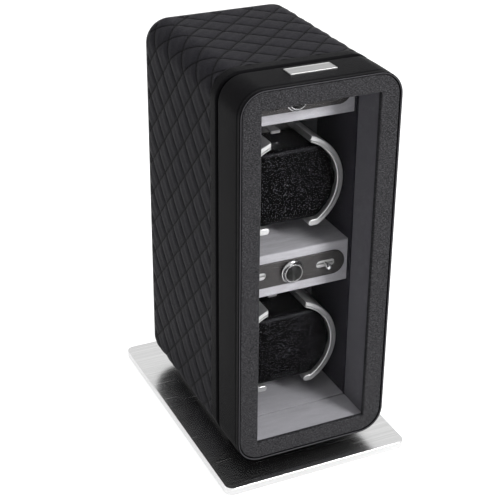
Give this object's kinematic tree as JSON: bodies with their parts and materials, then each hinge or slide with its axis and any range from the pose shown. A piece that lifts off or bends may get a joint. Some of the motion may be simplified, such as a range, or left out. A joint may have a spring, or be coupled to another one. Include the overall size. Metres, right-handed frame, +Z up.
{
  "type": "watch winder box",
  "caption": "Upright watch winder in quilted leatherette: a glazed side-hinged door, stacked motor-driven drums with cushions, control consoles, and a metal base plate.",
  "frame": {"origin": "on the resting face, below the middle of the base plate", "axes": "+Z up, the glazed front faces -Y, +X to the right of someone facing the front"},
  "size_m": [0.16, 0.229, 0.327],
  "materials": {
    "felt": "matte",
    "brushed_aluminium": "brushed lengthways",
    "board": "bare fibreboard",
    "steel": "satin",
    "quilted_leatherette": "quilted, fine grain",
    "smooth_leatherette": "smooth, fine grain",
    "panel_leatherette": "fine grain, matte",
    "grey_suede": "microfibre suede",
    "gunmetal": "brushed, dark",
    "circuit_board": "solder mask",
    "switch_plastic": "satin",
    "chrome": "polished",
    "drum_plastic": "satin",
    "black_plastic": "moulded",
    "bronze": "sintered",
    "belt_rubber": "matte",
    "cushion_leather": "pebble grain",
    "clear_glass": "clear",
    "nameplate_metal": "fine brushed"
  },
  "bodies": {
    "case": {"base_pad": "felt", "base_plate": "brushed_aluminium", "plinth": "board", "base_screws": "steel", "case_shell": "board", "quilted_cover": "quilted_leatherette", "case_binding": "smooth_leatherette", "back_panel": "smooth_leatherette", "back_panel_screws": "steel", "dc_inlet": "black_plastic", "lining_left": "grey_suede", "lining_right": "grey_suede", "lining_floor": "grey_suede", "partition_board": "board", "partition_lining": "grey_suede", "case_magnet": "steel", "hinge_case_leaves": "steel", "hinge_pins": "steel", "lower_console": "grey_suede", "lower_control_plate": "gunmetal", "lower_control_board": "circuit_board", "lower_speed_switch": "black_plastic", "lower_direction_switches": "switch_plastic", "lower_shaft_bush": "bronze", "lower_motor": "steel", "lower_motor_bracket": "steel", "lower_belt": "belt_rubber", "upper_console": "grey_suede", "upper_control_plate": "gunmetal", "upper_control_board": "circuit_board", "upper_speed_switch": "black_plastic", "upper_direction_switches": "switch_plastic", "upper_shaft_bush": "bronze", "upper_motor": "steel", "upper_motor_bracket": "steel", "upper_belt": "belt_rubber"},
    "door": {"door_wrap": "smooth_leatherette", "door_frame": "board", "door_front_panel": "panel_leatherette", "door_glass": "clear_glass", "door_lining": "grey_suede", "door_magnet": "steel", "nameplate": "nameplate_metal", "hinge_door_leaves": "steel"},
    "lower_drum": {"lower_drum_cup": "drum_plastic", "lower_drum_shaft": "steel", "lower_drum_pulley": "black_plastic"},
    "lower_pad": {"lower_cushion": "cushion_leather"},
    "lower_spindle": {"lower_motor_pulley": "black_plastic"},
    "lower_dial": {"lower_knob": "chrome"},
    "lower_left_slider": {"lower_left_lever": "chrome"},
    "lower_right_slider": {"lower_right_lever": "chrome"},
    "upper_drum": {"upper_drum_cup": "drum_plastic", "upper_drum_shaft": "steel", "upper_drum_pulley": "black_plastic"},
    "upper_pad": {"upper_cushion": "cushion_leather"},
    "upper_spindle": {"upper_motor_pulley": "black_plastic"},
    "upper_dial": {"upper_knob": "chrome"},
    "upper_left_slider": {"upper_left_lever": "chrome"},
    "upper_right_slider": {"upper_right_lever": "chrome"}
  },
  "joints": [
    {"name": "door_hinge", "type": "hinge", "parent": "case", "child": "door", "pos_m": [0.06745, -0.0605, 0.171], "axis": [0, 0, 1], "range_deg": [0, 110]},
    {"name": "lower_drum_spin", "type": "hinge", "parent": "case", "child": "lower_drum", "pos_m": [0, -0.001, 0.08052], "axis": [0, 1, 0], "continuous": true},
    {"name": "lower_motor_spin", "type": "hinge", "parent": "case", "child": "lower_spindle", "pos_m": [0, 0.0165, 0.12053], "axis": [0, 1, 0], "continuous": true},
    {"name": "lower_cushion_pull", "type": "slide", "parent": "lower_drum", "child": "lower_pad", "axis": [0, -1, 0], "range_m": [0, 0.03]},
    {"name": "lower_knob_turn", "type": "hinge", "parent": "case", "child": "lower_dial", "pos_m": [0, -0.059, 0.15505], "axis": [0, 1, 0], "range_deg": [-135, 135]},
    {"name": "lower_left_lever_slide", "type": "slide", "parent": "case", "child": "lower_left_slider", "axis": [1, 0, 0], "range_m": [0, 0.0113]},
    {"name": "lower_right_lever_slide", "type": "slide", "parent": "case", "child": "lower_right_slider", "axis": [1, 0, 0], "range_m": [-0.00565, 0.00565]},
    {"name": "upper_drum_spin", "type": "hinge", "parent": "case", "child": "upper_drum", "pos_m": [0, -0.001, 0.22398], "axis": [0, 1, 0], "continuous": true},
    {"name": "upper_motor_spin", "type": "hinge", "parent": "case", "child": "upper_spindle", "pos_m": [0, 0.0165, 0.26398], "axis": [0, 1, 0], "continuous": true},
    {"name": "upper_cushion_pull", "type": "slide", "parent": "upper_drum", "child": "upper_pad", "axis": [0, -1, 0], "range_m": [0, 0.03]},
    {"name": "upper_knob_turn", "type": "hinge", "parent": "case", "child": "upper_dial", "pos_m": [0, -0.059, 0.2985], "axis": [0, 1, 0], "range_deg": [-135, 135]},
    {"name": "upper_left_lever_slide", "type": "slide", "parent": "case", "child": "upper_left_slider", "axis": [1, 0, 0], "range_m": [0, 0.0113]},
    {"name": "upper_right_lever_slide", "type": "slide", "parent": "case", "child": "upper_right_slider", "axis": [1, 0, 0], "range_m": [-0.00565, 0.00565]}
  ],
  "couplings": [
    {"joint": "lower_motor_spin", "follows": "lower_drum_spin", "ratio": 3.7273},
    {"joint": "upper_motor_spin", "follows": "upper_drum_spin", "ratio": 3.7273}
  ]
}
